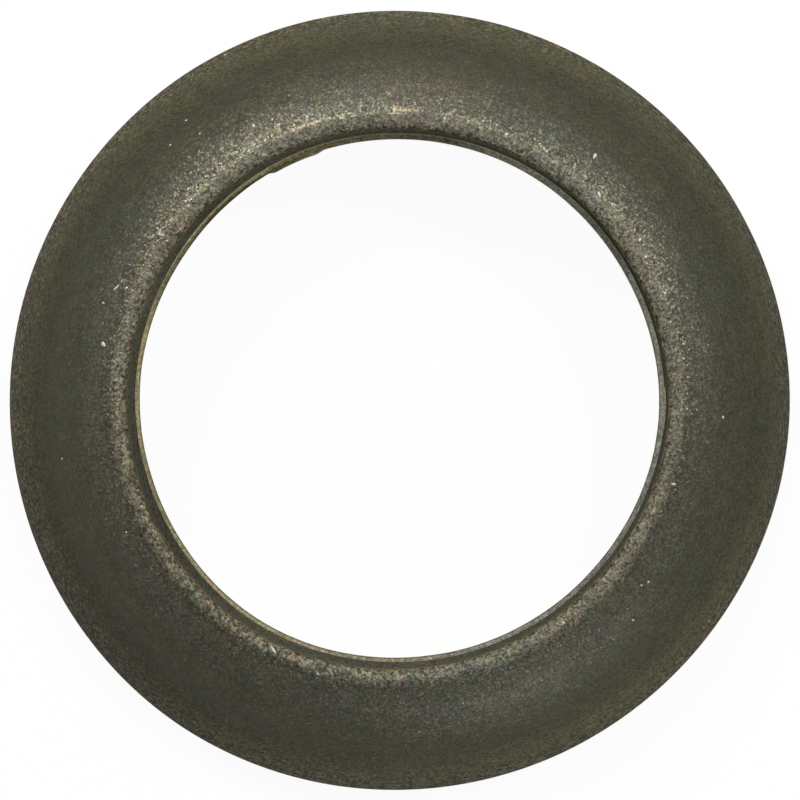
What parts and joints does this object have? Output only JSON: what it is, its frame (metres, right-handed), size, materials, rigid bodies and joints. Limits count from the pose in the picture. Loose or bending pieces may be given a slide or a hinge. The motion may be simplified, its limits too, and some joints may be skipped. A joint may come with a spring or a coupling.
{
  "type": "exhaust gasket",
  "caption": "Doughnut ring of sintered iron that seals an exhaust joint: plain bore with a thin lip at its foot, flat base, bulging sealing face and a narrow crest.",
  "frame": {"origin": "centre of the bore on the flat base", "axes": "+Z along the bore axis, from the flat base towards the small end with the crest; X and Y in the base plane"},
  "size_m": [0.067, 0.067, 0.0139],
  "materials": {
    "sintered_iron": "matte dark olive-grey sintered iron with a fine metallic grain"
  },
  "bodies": {
    "root": {"gasket_ring": "sintered_iron"}
  },
  "joints": []
}
